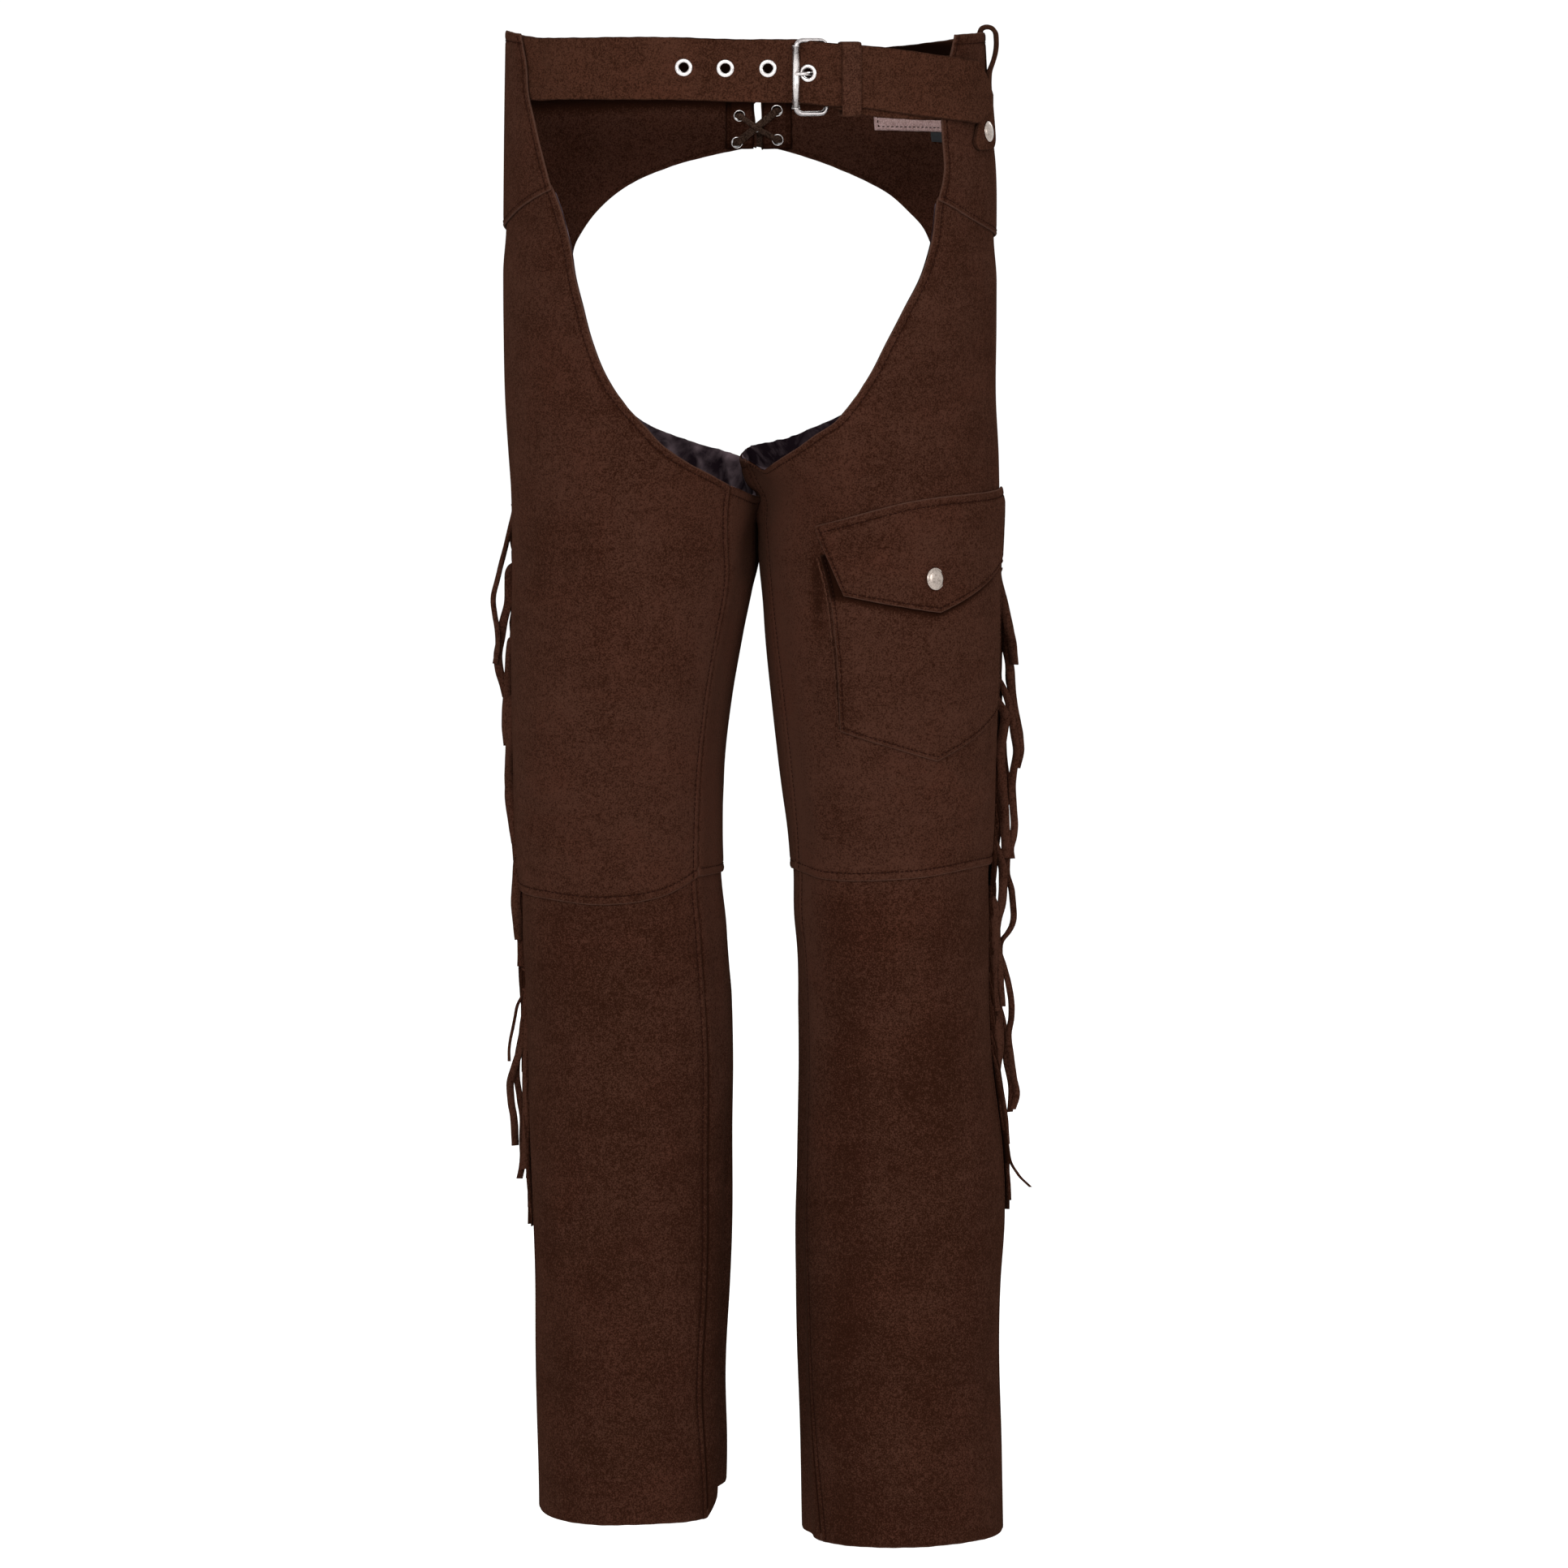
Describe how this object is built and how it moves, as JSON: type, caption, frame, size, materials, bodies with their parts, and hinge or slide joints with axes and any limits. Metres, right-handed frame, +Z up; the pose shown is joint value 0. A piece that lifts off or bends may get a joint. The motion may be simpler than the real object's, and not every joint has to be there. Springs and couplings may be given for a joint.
{
  "type": "leather chaps",
  "caption": "Suede leather chaps in a worn pose, hollow, with a buckled belt, a laced back, fringed side seams and a snap flap pocket on one thigh.",
  "frame": {"origin": "middle of the waist, level with the belt's top edge in front, where the wearer's waist holds the chaps up", "axes": "+Z up, -Y the way the chaps face, +X to the wearer's left"},
  "size_m": [0.3697, 0.2392, 1.0428],
  "materials": {
    "suede": "brushed suede, dark brown",
    "suede_trim": "brushed suede in two layers, dark brown",
    "satin": "smooth lining cloth, dark purple grey",
    "nickel": "nickel plate, satin",
    "label_leather": "thin smooth leather, pale pink brown, bare",
    "tab_cloth": "woven tape, black, bare"
  },
  "bodies": {
    "root": {"right_front_upper": "suede", "right_back_upper": "suede", "right_front_lower": "suede", "right_back_lower": "suede", "left_front_upper": "suede", "left_back_upper": "suede", "left_front_lower": "suede", "left_back_lower": "suede", "right_yoke": "suede", "left_yoke": "suede", "pocket_body": "suede", "pocket_flap": "suede", "right_lining_front": "satin", "right_lining_back": "satin", "left_lining_front": "satin", "left_lining_back": "satin", "lacing_patch_right": "suede_trim", "lacing_patch_left": "suede_trim", "lace": "suede_trim", "lace_knot": "suede_trim", "belt_strap": "suede_trim", "belt_billet": "suede_trim", "belt_keeper": "suede_trim", "hip_loop": "suede_trim", "right_fringe": "suede_trim", "left_fringe": "suede_trim", "belt_eyelet_1": "nickel", "belt_eyelet_2": "nickel", "belt_eyelet_3": "nickel", "belt_eyelet_4": "nickel", "belt_eyelet_5": "nickel", "lace_eyelet_right_top": "nickel", "lace_eyelet_right_middle": "nickel", "lace_eyelet_right_bottom": "nickel", "lace_eyelet_left_top": "nickel", "lace_eyelet_left_middle": "nickel", "lace_eyelet_left_bottom": "nickel", "buckle_frame": "nickel", "buckle_roller": "nickel", "buckle_prong": "nickel", "hip_snap_cap": "nickel", "pocket_snap_cap": "nickel", "label": "label_leather", "label_tab": "tab_cloth"}
  },
  "joints": []
}
